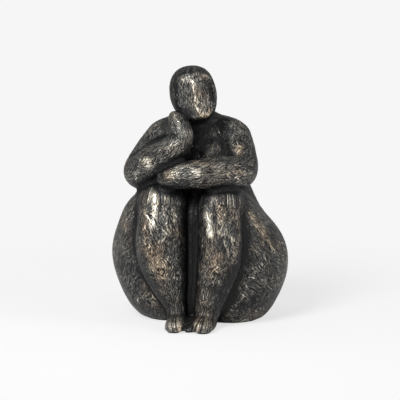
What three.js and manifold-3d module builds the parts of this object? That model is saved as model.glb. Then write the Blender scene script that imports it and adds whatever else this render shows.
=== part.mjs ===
// A seated figure cast in resin with an aged bronze finish: a heavy woman with her knees drawn up,
// her left forearm laid over both knees and her chin on her right hand.
//
// The figure is built as a modeller builds it in clay. Egg-shaped masses, and limbs on curved centre
// lines, are pressed together and a skin is wrapped over them. The castings part where two forms
// meet, so head, arms and legs come away from the hips and the torso. Hips and torso are hollow and
// a plug closes the mouth under them. Steel dowels locate the castings, and felt covers the places
// that the figure rests on.
//
// Millimetres, +Z up. The figure faces -Y, so its right side is on -X. The origin is on the surface it
// stands on, under the middle of the figure.

import * as THREE from 'three';
import { mergeVertices, toCreasedNormals } from 'three/addons/utils/BufferGeometryUtils.js';
import Module from 'manifold-3d';

const wasm = await Module();
wasm.setup();

// Sizes of the castings and of what joins them
const wall = 7; // thickness of the hollow castings
const seamGap = 0.36; // between two castings
const fit = 0.3; // round a dowel, round the plug and over the felt
const feltThickness = 1.2;
const feltInset = 3; // from the edge of what it covers
const mouth = { x: 0, y: 12, rx: 32, ry: 17 }; // in the floor of the hips
const mouthLedge = 3.5; // the plug rests against it
const plugThickness = 3;
const dowel = { r: 2, length: 26, chamfer: 0.5 };
const bossWall = 5; // round a dowel hole, in the hollow castings
const waistDowel = { low: 86, high: 120 }; // heights at which its axis stands in the wall

// Fillets between forms
const creaseFillet = 3; // where limbs only touch
const jointFillet = 14; // where a limb grows out of the body
const jointReach = 30; // how far from the joint that fillet goes
const hipFillet = 20; // between the masses of hips and waist
const chestFillet = 10;
const breastFillet = 5;
const footFillet = 9;
const faceFillet = 2;

// One haunch and thigh, on the +X side, and the plane that hips and legs mirror in
const middle = -1.3;
const hipSway = 0.052; // how far the hips lean to -X, for each mm of height
const swayLevel = 48;
const haunch = { x: 30, y: 14, z: 51, rx: 50.5, ry: 53, rz: 55 };
const underThigh = { x: 27, y: -9, z: 30, rx: 38, ry: 30, rz: 34 };
const seat = { x: 0, y: 9, z: 20, rx: 54, ry: 38, rz: 24 }; // under both
const thighRoot = { x: 44.5, y: 4, z: 63, r: 33 };
const thighMiddle = { x: 39.5, y: -18, z: 91, r: 28 };
const thighEnd = { x: 32, y: -30, z: 109, r: 21 };

// The trunk
const waist = { x: 0, y: 14, z: 110, rx: 49, ry: 38, rz: 42 };
const ribs = { x: 0, y: 2, z: 148, rx: 44, ry: 30, rz: 36 };
const breast = { x: 17, y: -15, z: 154, rx: 15, ry: 15, rz: 17 };
const girdleMiddle = { x: -1, y: 2, z: 179, r: 17 };
const girdleEnd = { x: 21, y: 3, z: 175.5, r: 17 };
const neckRoot = { x: 0, y: -2, z: 184, r: 15 };
const neckTop = { x: -3, y: -14, z: 202, r: 12.5 };

const footPower = 2.7; // squarer than an egg, which is 2

// The right leg, from the knee to the foot
const rightKnee = { x: -27, y: -42, z: 112, r: 22.5 };
const rightShinTop = { x: -27, y: -46, z: 95, r: 23 };
const rightCalf = { x: -27.5, y: -45, z: 70, r: 24 };
const rightShin = { x: -21.5, y: -45, z: 44, r: 18 };
const rightAnkle = { x: -14.5, y: -45, z: 20, r: 10.5 };
const rightFoot = { x: -12.3, y: -56, z: 1.5, rx: 9, ry: 20, rz: 11 };

// The left leg
const leftKnee = { x: 27, y: -42, z: 112, r: 20.5 };
const leftShinTop = { x: 27, y: -46, z: 95, r: 20 };
const leftCalf = { x: 27, y: -45, z: 70, r: 20.5 };
const leftShin = { x: 23, y: -45, z: 44, r: 16 };
const leftAnkle = { x: 17.5, y: -45, z: 20, r: 11 };
const leftFoot = { x: 14.4, y: -55, z: 1.5, rx: 9.3, ry: 20, rz: 11 };
const web = { x: 1, y: -54, z: 1.5, rx: 9, ry: 18, rz: 9 }; // left between the feet

// The right arm, from the shoulder to the finger tips at the cheek
const rightShoulder = { x: -35, y: 3, z: 170, r: 17.5 };
const rightUpperArm = { x: -45, y: -8, z: 156.5, r: 16.5 };
const rightElbow = { x: -51.8, y: -22, z: 141, r: 16.5 };
const rightForearm = { x: -36, y: -38, z: 151, r: 16 };
const rightWrist = { x: -17, y: -48, z: 163, r: 13 };
const rightHeel = { x: -8, y: -48, z: 175, r: 10 };
const rightPalm = { x: -10.5, y: -45, z: 183.5, r: 10 };
const rightKnuckles = { x: -13, y: -42, z: 190, r: 8.5 };
const rightTips = { x: -16.5, y: -41, z: 194, r: 5 };

// The left arm, from the shoulder to the hand on the right knee
const leftShoulder = { x: 31, y: 3, z: 170.5, r: 17.5 };
const leftUpperArm = { x: 37, y: -10, z: 157, r: 17.5 };
const leftElbow = { x: 41, y: -26, z: 143, r: 16 };
const leftForearm = { x: 24, y: -47, z: 144, r: 15 };
const leftWrist = { x: 4, y: -57, z: 143, r: 13 };
const leftPalm = { x: -12, y: -57, z: 141, r: 11 };
const leftTips = { x: -21, y: -55, z: 139, r: 8.5 };

// The head, which leans on the right hand and looks a little to its left
const skull = { x: -3.4, y: -22, z: 216.5, rx: 18, ry: 20.5, rz: 20.5, power: 2.3 };
const jaw = { x: 2, y: -29, z: 206, rx: 13.5, ry: 16.5, rz: 14, power: 2.8 };
const headLean = -5; // degrees, crown towards -X
const headTurn = 20; // degrees, face towards +X
const hairDepth = 2.6;
// The opening in the hair, placed from the middle of the skull
const faceOpening = { forward: 25.5, rise: -16, rx: 18, ry: 19.5, rz: 32, power: 3.4 };
// The ridge of the face, between two planes
const brow = { x: 1, y: -41, z: 228 };
const chin = { x: 10, y: -40, z: 195.5 };
const faceDepth = 0.4; // from the line between them out to the ridge
const faceAngle = 24; // degrees, between each plane and the face's front

// The space the figure fills, and the lattices its skins are wrapped on
const space = { from: [-98, -92, -14], to: [98, 82, 252] };
const skinStep = 7;
const headStep = 5;
const partingStep = 8;
const bodyEdge = 5.8; // shortest edge of a skin
const limbEdge = 4.2;
const headEdge = 2.5;
const partingEdge = 7;
const cavityEdge = 10;
const farOff = 25; // a limb is measured only roughly from further away
const partingMargin = 6; // parting surfaces reach this far past the skin
const crumb = 0.3; // shortest edge of a casting, and a size below which no piece of it is kept

const xyz = ({ x, y, z }) => new THREE.Vector3(x, y, z);
const mirrored = (form) => ({ ...form, x: 2 * middle - form.x });
const onSide = (side, form) => (side > 0 ? form : mirrored(form));

// A form is a function of a place: its distance to the form's surface, negative inside.

// An egg-shaped mass, leaned about Y and turned about Z. A power above 2 makes it squarer.
function mass({ x, y, z, rx, ry, rz, power = 2 }, lean = 0, turn = 0) {
  const angles = new THREE.Euler(0, THREE.MathUtils.degToRad(lean), THREE.MathUtils.degToRad(turn), 'ZYX');
  const m = new THREE.Matrix4().makeRotationFromEuler(angles).elements;
  return (px, py, pz) => {
    const dx = px - x;
    const dy = py - y;
    const dz = pz - z;
    const a = Math.abs(m[0] * dx + m[1] * dy + m[2] * dz) / rx;
    const b = Math.abs(m[4] * dx + m[5] * dy + m[6] * dz) / ry;
    const c = Math.abs(m[8] * dx + m[9] * dy + m[10] * dz) / rz;
    const outward = (a ** power + b ** power + c ** power) ** (1 / power);
    if (outward === 0) return -Math.min(rx, ry, rz);
    const slope = Math.hypot(
      (a / outward) ** (power - 1) / rx,
      (b / outward) ** (power - 1) / ry,
      (c / outward) ** (power - 1) / rz,
    );
    return (outward - 1) / slope;
  };
}

// A round limb through balls, with a smooth centre line and girth.
function limb(...balls) {
  const line = new THREE.CatmullRomCurve3(balls.map(xyz), false, 'catmullrom');
  const girth = new THREE.SplineCurve(balls.map(({ r }, i) => new THREE.Vector2(i, r)));
  const steps = 10 * (balls.length - 1);
  const links = [];
  for (let i = 0; i < steps; i++) {
    const from = line.getPoint(i / steps);
    const along = line.getPoint((i + 1) / steps).sub(from);
    const r = girth.getPoint(i / steps).y;
    const swell = girth.getPoint((i + 1) / steps).y - r;
    links.push({ from, along, r, swell, length2: along.lengthSq() });
  }
  const around = new THREE.Sphere().setFromPoints(balls.map(xyz));
  const girthMost = Math.max(...balls.map(({ r }) => r));
  const place = new THREE.Vector3();
  return (px, py, pz) => {
    const clear = around.distanceToPoint(place.set(px, py, pz)) - girthMost;
    if (clear > farOff) return clear;
    let nearest = Infinity;
    for (const { from, along, r, swell, length2 } of links) {
      const dx = px - from.x;
      const dy = py - from.y;
      const dz = pz - from.z;
      const reach = (dx * along.x + dy * along.y + dz * along.z) / length2;
      const t = reach < 0 ? 0 : reach > 1 ? 1 : reach;
      const ex = dx - t * along.x;
      const ey = dy - t * along.y;
      const ez = dz - t * along.z;
      nearest = Math.min(nearest, Math.sqrt(ex * ex + ey * ey + ez * ez) - r - t * swell);
    }
    return nearest;
  };
}

// Two distances pressed together, with a fillet in the crease.
function pressed(a, b, fillet) {
  const near = Math.max(fillet - Math.abs(a - b), 0);
  return Math.min(a, b) - (near * near) / (4 * fillet);
}

// Forms pressed together one after the other.
const press = (fillet, ...parts) => (x, y, z) =>
  parts.reduce((made, part) => pressed(made, part(x, y, z), fillet), Infinity);

// A form with a tool taken out of it.
const carve = (form, tool, fillet) => (x, y, z) => -pressed(-form(x, y, z), tool(x, y, z), fillet);

// A form leaned to -X as it rises.
const swayed = (form) => (x, y, z) => form(x + hipSway * (z - swayLevel), y, z);

// The forms of the castings
function thighForm(side) {
  return press(
    hipFillet,
    mass(onSide(side, haunch)),
    mass(onSide(side, underThigh)),
    limb(onSide(side, thighRoot), onSide(side, thighMiddle), onSide(side, thighEnd)),
  );
}

function torsoForm() {
  const chest = press(
    chestFillet,
    mass(waist),
    mass(ribs),
    limb(mirrored(girdleEnd), girdleMiddle, girdleEnd),
    limb(neckRoot, neckTop),
  );
  return press(breastFillet, chest, mass(breast), mass(mirrored(breast)));
}

function legForm(foot, ...balls) {
  return press(footFillet, limb(...balls), mass({ ...foot, power: footPower }));
}

function headForm() {
  const up = new THREE.Vector3(0, 0, 1);
  const facing = new THREE.Vector3(0, -1, 0).applyAxisAngle(up, THREE.MathUtils.degToRad(headTurn));
  const opening = xyz(skull).addScaledVector(facing, faceOpening.forward);
  opening.z += faceOpening.rise;
  const tool = mass({ ...faceOpening, x: opening.x, y: opening.y, z: opening.z }, headLean, headTurn);
  const egg = press(chestFillet, mass(skull, headLean, headTurn), mass(jaw, headLean, headTurn));
  const hair = carve((x, y, z) => egg(x, y, z) - hairDepth, tool, faceFillet);
  const ridge = xyz(brow).sub(xyz(chin)).normalize();
  const front = facing.clone().addScaledVector(ridge, -facing.dot(ridge)).normalize();
  const planes = [-1, 1].map((side) =>
    front.clone().applyAxisAngle(ridge, side * THREE.MathUtils.degToRad(faceAngle)));
  const face = (x, y, z) => {
    const at = new THREE.Vector3(x, y, z).sub(xyz(chin)).addScaledVector(front, -faceDepth);
    return -pressed(-egg(x, y, z), -Math.max(...planes.map((plane) => plane.dot(at))), faceFillet);
  };
  return press(faceFillet, face, hair);
}

const forms = {
  hips_shell: swayed(press(hipFillet, thighForm(1), thighForm(-1), mass(seat))),
  torso_shell: torsoForm(),
  head_casting: headForm(),
  right_arm_casting: limb(rightShoulder, rightUpperArm, rightElbow, rightForearm, rightWrist,
    rightHeel, rightPalm, rightKnuckles, rightTips),
  left_arm_casting: limb(leftShoulder, leftUpperArm, leftElbow, leftForearm, leftWrist, leftPalm, leftTips),
  right_leg_casting: legForm(rightFoot, rightKnee, rightShinTop, rightCalf, rightShin, rightAnkle),
  left_leg_casting: press(
    creaseFillet,
    legForm(leftFoot, leftKnee, leftShinTop, leftCalf, leftShin, leftAnkle),
    mass(web),
  ),
};
const castings = Object.keys(forms);

// The whole figure. The crease fillet grows towards the joints, where limbs come out of the body.
const joints = [rightShoulder, leftShoulder, rightKnee, leftKnee, neckTop].map(xyz);
const body = press(hipFillet, forms.hips_shell, forms.torso_shell);
const limbs = castings.slice(2).map((name) => forms[name]);
const place = new THREE.Vector3();
function figure(x, y, z) {
  const away = Math.min(...joints.map((joint) => joint.distanceTo(place.set(x, y, z))));
  const soft = THREE.MathUtils.smoothstep(jointReach - away, 0, jointReach);
  const fillet = creaseFillet + (jointFillet - creaseFillet) * soft;
  return limbs.reduce((made, form) => pressed(made, form(x, y, z), fillet), body(x, y, z));
}

// A solid from a three.js geometry, and back
function solid(geometry) {
  const bare = geometry.clone();
  bare.deleteAttribute('normal');
  bare.deleteAttribute('uv');
  const { attributes, index } = mergeVertices(bare, 1e-4);
  return new wasm.Manifold(new wasm.Mesh({
    numProp: 3,
    vertProperties: new Float32Array(attributes.position.array),
    triVerts: new Uint32Array(index.array),
  }));
}

function geometryOf({ positions, triangles }) {
  const geometry = new THREE.BufferGeometry();
  geometry.setAttribute('position', new THREE.Float32BufferAttribute(positions, 3));
  geometry.setIndex(triangles);
  return geometry;
}

// A lattice of cube corners and cube middles over the figure's space, parted into tetrahedra. Two
// middles on either side of a cube's face make a tetrahedron with each edge of that face.
function lattice(step) {
  const cells = space.from.map((from, axis) => Math.ceil((space.to[axis] - from) / step));
  const [nx, ny, nz] = cells;
  const corner = (i, j, k) => i + (nx + 1) * (j + (ny + 1) * k);
  const corners = (nx + 1) * (ny + 1) * (nz + 1);
  const middleOf = (i, j, k) => corners + i + nx * (j + ny * k);
  const points = new Array(corners + nx * ny * nz);
  const onEdge = new Set();
  const tetrahedra = [];
  const placed = (i, j, k, half) => [i, j, k].map((n, axis) => space.from[axis] + (n + half) * step);
  for (let k = 0; k <= nz; k++) {
    for (let j = 0; j <= ny; j++) {
      for (let i = 0; i <= nx; i++) {
        points[corner(i, j, k)] = placed(i, j, k, 0);
        if (!i || !j || !k || i === nx || j === ny || k === nz) onEdge.add(corner(i, j, k));
        if (i === nx || j === ny || k === nz) continue;
        points[middleOf(i, j, k)] = placed(i, j, k, 0.5);
        if (!i || !j || !k || i === nx - 1 || j === ny - 1 || k === nz - 1) onEdge.add(middleOf(i, j, k));
        for (let axis = 0; axis < 3; axis++) {
          const next = [i, j, k];
          next[axis] += 1;
          if (next[axis] === cells[axis]) continue;
          const [u, v] = [(axis + 1) % 3, (axis + 2) % 3];
          const ring = [[0, 0], [1, 0], [1, 1], [0, 1]].map(([a, b]) => {
            const at = [...next];
            at[u] += a;
            at[v] += b;
            return corner(...at);
          });
          ring.forEach((from, n) => {
            tetrahedra.push([middleOf(i, j, k), middleOf(...next), from, ring[(n + 1) % 4]]);
          });
        }
      }
    }
  }
  return { points, onEdge, tetrahedra };
}

// The corner orders of a tetrahedron that keep it right-handed
const readings = ([a, b, c, d]) => [
  [a, b, c, d], [a, c, d, b], [a, d, b, c], [b, a, d, c], [b, c, a, d], [b, d, c, a],
  [c, a, b, d], [c, b, d, a], [c, d, a, b], [d, a, c, b], [d, b, a, c], [d, c, b, a],
];

// The closed surface where a field is zero, cut through the lattice's tetrahedra.
function surface(field, { points, onEdge, tetrahedra }) {
  const values = points.map((at, n) => (onEdge.has(n) ? Math.max(field(...at), 1) : field(...at)));
  const inside = values.map((value) => value < 0);
  const positions = [];
  const triangles = [];
  const cuts = new Map();
  const cut = (a, b) => {
    const [low, high] = a < b ? [a, b] : [b, a];
    const key = low * points.length + high;
    if (!cuts.has(key)) {
      const t = Math.min(Math.max(values[low] / (values[low] - values[high]), 0.02), 0.98);
      cuts.set(key, positions.length / 3);
      for (let axis = 0; axis < 3; axis++) {
        positions.push(points[low][axis] + t * (points[high][axis] - points[low][axis]));
      }
    }
    return cuts.get(key);
  };
  for (const tetrahedron of tetrahedra) {
    const within = tetrahedron.filter((n) => inside[n]).length;
    if (within === 0 || within === 4) continue;
    if (within === 2) {
      const [a, b, c, d] = readings(tetrahedron).find(([p, q]) => inside[p] && inside[q]);
      triangles.push(cut(a, c), cut(a, d), cut(b, d), cut(a, c), cut(b, d), cut(b, c));
    } else {
      const [a, b, c, d] = readings(tetrahedron).find(([p]) => inside[p] === (within === 1));
      triangles.push(cut(a, b), ...(within === 1 ? [cut(a, c), cut(a, d)] : [cut(a, d), cut(a, c)]));
    }
  }
  return { positions, triangles };
}

// Evens out a skin's points and draws them back to the field's surface.
function relaxed(field, { positions, triangles }, rounds = 6) {
  const neighbours = Array.from({ length: positions.length / 3 }, () => new Set());
  for (let n = 0; n < triangles.length; n += 3) {
    for (let side = 0; side < 3; side++) {
      neighbours[triangles[n + side]].add(triangles[n + ((side + 1) % 3)]);
    }
  }
  const h = 0.05;
  for (let round = 0; round < rounds; round++) {
    const before = positions.slice();
    neighbours.forEach((around, n) => {
      const at = [0, 1, 2].map((axis) => {
        const mean = [...around].reduce((sum, m) => sum + before[3 * m + axis], 0) / around.size;
        return (before[3 * n + axis] + mean) / 2;
      });
      const value = field(...at);
      const slope = [0, 1, 2].map((axis) => {
        const beside = [...at];
        beside[axis] += h;
        return (field(...beside) - value) / h;
      });
      const steepness = slope.reduce((sum, s) => sum + s * s, 0);
      const back = THREE.MathUtils.clamp(value / Math.max(steepness, 0.2), -2, 2);
      at.forEach((p, axis) => {
        positions[3 * n + axis] = p - back * slope[axis];
      });
    });
  }
  return { positions, triangles };
}

// Merges points that are nearer to each other than a length, where the skin stays closed and no
// face turns over.
function thinned({ positions, triangles }, length) {
  const at = (n) => new THREE.Vector3(positions[3 * n], positions[3 * n + 1], positions[3 * n + 2]);
  const points = Array.from({ length: positions.length / 3 }, (_, n) => at(n));
  const faces = Array.from({ length: triangles.length / 3 }, (_, n) => triangles.slice(3 * n, 3 * n + 3));
  const facesOf = points.map(() => new Set());
  faces.forEach((face, n) => face.forEach((corner) => facesOf[corner].add(n)));
  const beside = (n) => new Set([...facesOf[n]].flatMap((f) => faces[f]).filter((m) => m !== n));
  const facing = (corners) => new THREE.Triangle(...corners).getNormal(new THREE.Vector3());
  const edges = faces.flatMap(([a, b, c]) => [[a, b], [b, c], [c, a]]).filter(([a, b]) => a < b);
  const span = ([a, b]) => points[a].distanceTo(points[b]);
  edges.sort((e, f) => span(e) - span(f));
  for (const [keep, gone] of edges) {
    if (!facesOf[keep].size || !facesOf[gone].size) continue;
    if (points[keep].distanceTo(points[gone]) > length) continue;
    const near = beside(gone);
    if (!near.has(keep)) continue;
    if ([...beside(keep)].filter((n) => near.has(n)).length !== 2) continue;
    const merged = points[keep].clone().lerp(points[gone], 0.5);
    const moved = (n) => (n === keep || n === gone ? merged : points[n]);
    const kept = [...new Set([...facesOf[keep], ...facesOf[gone]])]
      .filter((f) => !(faces[f].includes(keep) && faces[f].includes(gone)));
    const turnsOver = kept.some((f) =>
      facing(faces[f].map((n) => points[n])).dot(facing(faces[f].map(moved))) < 0.5);
    if (turnsOver) continue;
    for (const f of facesOf[gone]) {
      if (faces[f].includes(keep)) {
        faces[f].forEach((n) => n !== gone && facesOf[n].delete(f));
        faces[f] = null;
      } else {
        faces[f] = faces[f].map((n) => (n === gone ? keep : n));
        facesOf[keep].add(f);
      }
    }
    facesOf[gone].clear();
    points[keep].copy(merged);
  }
  const used = new Map();
  points.forEach((_, n) => facesOf[n].size && used.set(n, used.size));
  return {
    positions: [...used.keys()].flatMap((n) => points[n].toArray()),
    triangles: faces.filter(Boolean).flat().map((n) => used.get(n)),
  };
}

function wrapped({ positions, triangles }) {
  return new wasm.Manifold(new wasm.Mesh({
    numProp: 3,
    vertProperties: new Float32Array(positions),
    triVerts: new Uint32Array(triangles),
  }));
}

// A smooth skin of even triangles.
function skin(field, points, edge) {
  let made = relaxed(field, surface(field, points));
  for (const part of [0.7, 1]) {
    made = relaxed(field, thinned(made, part * edge));
  }
  return made;
}

// The largest body of a shape, without its shortest edges
function tidied(shape) {
  const { vertProperties, triVerts } = shape.getMesh();
  const whole = { positions: [...vertProperties], triangles: [...triVerts] };
  const { positions, triangles } = thinned(whole, crumb);
  const body = Array.from({ length: positions.length / 3 }, (_, n) => n);
  const root = (n) => {
    while (body[n] !== n) n = body[n];
    return n;
  };
  for (let n = 0; n < triangles.length; n += 3) {
    const [a, b, c] = triangles.slice(n, n + 3).map(root);
    const first = Math.min(a, b, c);
    [a, b, c].forEach((m) => {
      body[m] = first;
    });
  }
  const sizes = new Map();
  triangles.forEach((n) => sizes.set(root(n), (sizes.get(root(n)) ?? 0) + 1));
  const [largest] = [...sizes].reduce((best, each) => (each[1] > best[1] ? each : best));
  return { positions, triangles: triangles.filter((n) => root(n) === largest) };
}

// A skin moved outwards
function widened({ positions, triangles }, distance) {
  const geometry = geometryOf({ positions, triangles });
  geometry.computeVertexNormals();
  const normals = geometry.attributes.normal.array;
  return { positions: positions.map((p, n) => p + distance * normals[n]), triangles };
}

// How far a place is past the surface where a casting's form meets other forms
const pastParting = (name, others) => (x, y, z) => {
  const nearest = Math.min(...others.map((other) => forms[other](x, y, z)));
  return (forms[name](x, y, z) - nearest) / 2;
};

// Where two forms meet on the line between two places
function seamBetween(from, to, formA, formB) {
  let [near, far] = [0, 1];
  const at = new THREE.Vector3();
  for (let halving = 0; halving < 24; halving++) {
    const t = (near + far) / 2;
    at.lerpVectors(from, to, t);
    const inA = formA(...at) < formB(...at);
    [near, far] = inA ? [t, far] : [near, t];
  }
  return at;
}

// Dowels, each with the two castings it locates and the two places its axis runs through. Those of
// the waist stand in the wall.
function inWall(side, z) {
  const place = { x: 0, y: waist.y, z };
  while (body(place.x, place.y, z) < -wall) place.x += side / 4;
  return place;
}
const dowels = [
  ['neck_dowel', 'torso_shell', 'head_casting', neckRoot, skull],
  ['right_shoulder_dowel', 'torso_shell', 'right_arm_casting', mirrored(girdleEnd), rightShoulder],
  ['left_shoulder_dowel', 'torso_shell', 'left_arm_casting', girdleEnd, leftShoulder],
  ['right_knee_dowel', 'hips_shell', 'right_leg_casting', mirrored(thighMiddle), rightShinTop],
  ['left_knee_dowel', 'hips_shell', 'left_leg_casting', thighMiddle, leftShinTop],
  ['right_shin_dowel', 'hips_shell', 'right_leg_casting', mirrored(haunch), rightShin],
  ['left_shin_dowel', 'hips_shell', 'left_leg_casting', haunch, leftShin],
  ['right_waist_dowel', 'hips_shell', 'torso_shell', inWall(-1, waistDowel.low), inWall(-1, waistDowel.high)],
  ['left_waist_dowel', 'hips_shell', 'torso_shell', inWall(1, waistDowel.low), inWall(1, waistDowel.high)],
  ['forearm_dowel', 'left_leg_casting', 'left_arm_casting', leftKnee, leftForearm],
].map(([name, a, b, from, to]) => {
  const axis = xyz(to).sub(xyz(from)).normalize();
  const at = seamBetween(xyz(from), xyz(to), forms[a], forms[b]);
  return { name, castings: [a, b], at, axis };
});

// The hollow of hips and torso. It keeps a wall to the skin and to the castings that are joined on.
const baseLevel = feltThickness + fit;
function cavity(x, y, z) {
  const inside = body(x, y, z);
  const joined = Math.min(...limbs.map((form) => form(x, y, z)));
  return Math.max(inside + wall, (inside - joined) / 2 + wall, baseLevel + wall - z);
}

// An upright disc with the outline of the mouth, wider by a rim
function inMouth(rim, bottom, top) {
  const geometry = new THREE.CylinderGeometry(1, 1, top - bottom, 40);
  geometry.rotateX(Math.PI / 2).scale(mouth.rx + rim, mouth.ry + rim, 1);
  return geometry.translate(mouth.x, mouth.y, (bottom + top) / 2);
}

function dowelGeometry() {
  const half = dowel.length / 2;
  const tip = dowel.r - dowel.chamfer;
  const shoulder = half - dowel.chamfer;
  const upper = [[dowel.r, shoulder], [tip, half], [0, half]];
  const lower = upper.map(([r, y]) => [r, -y]).reverse();
  return new THREE.LatheGeometry([...lower, ...upper].map(([r, y]) => new THREE.Vector2(r, y)), 10);
}

function alongAxis(object, { at, axis }) {
  object.position.copy(at);
  object.quaternion.setFromUnitVectors(new THREE.Vector3(0, 1, 0), axis);
  object.updateMatrix();
  return object;
}

const below = new THREE.Box3(
  new THREE.Vector3(...space.from),
  new THREE.Vector3(space.to[0], space.to[1], baseLevel),
);
const floor = solid(new THREE.BoxGeometry(...below.getSize(new THREE.Vector3()))
  .translate(...below.getCenter(new THREE.Vector3())));
const plugTop = baseLevel + plugThickness;
const recess = solid(inMouth(mouthLedge, 0, plugTop + fit));
const opening = solid(inMouth(0, 0, baseLevel + wall + cavityEdge));
const round = (radius, length) => new THREE.CylinderGeometry(radius, radius, length, 12);
const hole = round(dowel.r + 1.5 * fit, dowel.length + 2 * fit);
const boss = round(dowel.r + bossWall, dowel.length + 2 * bossWall);
const around = (geometry, each) =>
  solid(geometry.clone().applyMatrix4(alongAxis(new THREE.Object3D(), each).matrix));

const order = [...castings.slice(2), 'torso_shell', 'hips_shell'];
const pastHead = pastParting('head_casting', order.slice(1));
const headOnly = (x, y, z) => Math.max(figure(x, y, z), pastHead(x, y, z) - partingMargin);
const fine = lattice(skinStep);
const coarse = lattice(partingStep);
const skins = {
  shell: wrapped(skin(figure, fine, bodyEdge)),
  casting: wrapped(skin(figure, fine, limbEdge)),
  head: wrapped(skin(headOnly, lattice(headStep), headEdge)),
};
const hollow = dowels.reduce(
  (made, each) => made.subtract(around(boss, each)),
  wrapped(skin(cavity, coarse, cavityEdge)),
);

// The castings part one after the other, from the head down to the hips. Each is the skin inside its
// own parting surface and outside those of the castings before it, which are wider by the gap.
const shapes = {};
const partings = [];
order.forEach((name, n) => {
  let shape = skins[name === 'head_casting' ? 'head' : name.split('_').pop()];
  const later = order.slice(n + 1);
  if (later.length) {
    const past = pastParting(name, later);
    const within = (x, y, z) => Math.max(past(x, y, z), figure(x, y, z) - partingMargin);
    const made = skin(within, coarse, partingEdge);
    shape = shape.intersect(wrapped(made));
    partings.push(wrapped(widened(made, seamGap)));
  }
  for (const before of partings.slice(0, n)) shape = shape.subtract(before);
  shape = shape.subtract(floor);
  if (name.endsWith('shell')) shape = shape.subtract(hollow);
  if (name === 'hips_shell') shape = shape.subtract(recess).subtract(opening);
  for (const each of dowels.filter((one) => one.castings.includes(name))) {
    shape = shape.subtract(around(hole, each));
  }
  shapes[name] = tidied(shape);
});

// Felt, cut a little smaller than the flat that it covers
function felt(name, centre) {
  const past = pastParting(name, castings.filter((other) => other !== name));
  const outline = Array.from({ length: 40 }, (_, n) => {
    const towards = new THREE.Vector2(1, 0).rotateAround(new THREE.Vector2(), (2 * Math.PI * n) / 40);
    const at = new THREE.Vector2(centre.x, centre.y);
    while (Math.max(figure(at.x, at.y, baseLevel), past(at.x, at.y, baseLevel)) < -feltInset / 2) {
      at.addScaledVector(towards, 0.5);
    }
    return at.addScaledVector(towards, -feltInset / 2);
  });
  return new THREE.ExtrudeGeometry(new THREE.Shape(outline), { depth: feltThickness, bevelEnabled: false });
}

// The parts of the figure
const bronze = { color: 0x4b463d, roughness: 0.45, metalness: 0.6 };
const steel = { color: 0x9a9a98, roughness: 0.35, metalness: 1 };
const resin = { color: 0x3a3733, roughness: 0.7, metalness: 0 };
const black = { color: 0x1b1b1c, roughness: 0.95, metalness: 0 };
const group = new THREE.Group();
function add(name, geometry, look) {
  const mesh = new THREE.Mesh(geometry, new THREE.MeshStandardMaterial(look));
  mesh.name = name;
  group.add(mesh);
  return mesh;
}

for (const name of castings) {
  add(name, toCreasedNormals(geometryOf(shapes[name]), THREE.MathUtils.degToRad(38)), bronze);
}
for (const each of dowels) {
  alongAxis(add(each.name, dowelGeometry(), steel), each);
}
add('base_plug', inMouth(mouthLedge - fit, baseLevel, plugTop), resin);
add('seat_felt', felt('hips_shell', mouth), black);
add('right_foot_felt', felt('right_leg_casting', rightFoot), black);
add('left_foot_felt', felt('left_leg_casting', leftFoot), black);

export default group;
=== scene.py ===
"""Looks of a seated figure statue, cast in resin and finished as aged bronze.

The castings' skins are pressed into one figure, as filler and paint do on the real one. The figure
is settled onto its smooth clay forms, worked over with tool strokes, and parted again into one
closed piece for each casting. Lengths in the forms are millimetres in the frame's axes.
"""

import math

import bpy
import numpy as np
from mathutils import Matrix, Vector


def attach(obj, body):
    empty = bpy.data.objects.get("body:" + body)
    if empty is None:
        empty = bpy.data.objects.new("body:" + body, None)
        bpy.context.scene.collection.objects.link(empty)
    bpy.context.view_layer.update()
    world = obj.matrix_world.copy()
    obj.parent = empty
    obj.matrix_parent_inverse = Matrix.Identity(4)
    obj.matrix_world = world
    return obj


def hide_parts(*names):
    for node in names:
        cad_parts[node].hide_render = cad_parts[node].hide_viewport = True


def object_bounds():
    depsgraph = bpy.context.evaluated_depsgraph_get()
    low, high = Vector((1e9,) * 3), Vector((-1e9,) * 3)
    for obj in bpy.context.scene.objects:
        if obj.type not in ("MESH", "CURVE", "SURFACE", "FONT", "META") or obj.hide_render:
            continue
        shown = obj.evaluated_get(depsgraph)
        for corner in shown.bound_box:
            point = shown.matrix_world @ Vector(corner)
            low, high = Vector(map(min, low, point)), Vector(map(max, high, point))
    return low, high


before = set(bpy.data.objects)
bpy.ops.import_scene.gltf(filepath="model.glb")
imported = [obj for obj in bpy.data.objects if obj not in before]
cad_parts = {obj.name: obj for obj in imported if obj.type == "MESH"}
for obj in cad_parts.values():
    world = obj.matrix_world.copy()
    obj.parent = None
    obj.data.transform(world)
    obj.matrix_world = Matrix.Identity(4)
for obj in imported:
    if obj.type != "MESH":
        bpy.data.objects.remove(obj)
cad_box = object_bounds()
MM = 0.001
rng = np.random.default_rng(7)

CASTINGS = ["hips_shell", "torso_shell", "head_casting", "right_arm_casting", "left_arm_casting",
            "right_leg_casting", "left_leg_casting"]
SKINS = {name: name.rsplit("_", 1)[0] + "_skin" for name in CASTINGS}
BASE = 1.5  # level of the figure's own underside
SKIN_STEP = 1.25  # size of the skin's squares, halved on all castings but the hips
SWELL = 1.5  # closes the seams between the castings before the skin is wrapped
MERGE = 0.002  # corners of loose triangles this close together are one
SETTLING, HOLDING = 7, 2  # rounds that even the skin out as they move it, and that only move it
ASTRAY, STRIDE = 0.6, 1.5  # where a point takes the steepest way to its form, and its longest move
PROBE = 0.05  # step that finds which way a field rises
WALL, INNER_BASE = 1.6, 3.0  # the skins' wall, and the lowest level of their insides
TINY, ENDLESS = 1e-9, 1e9  # under a division in place of zero, and a distance not yet known

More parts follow.
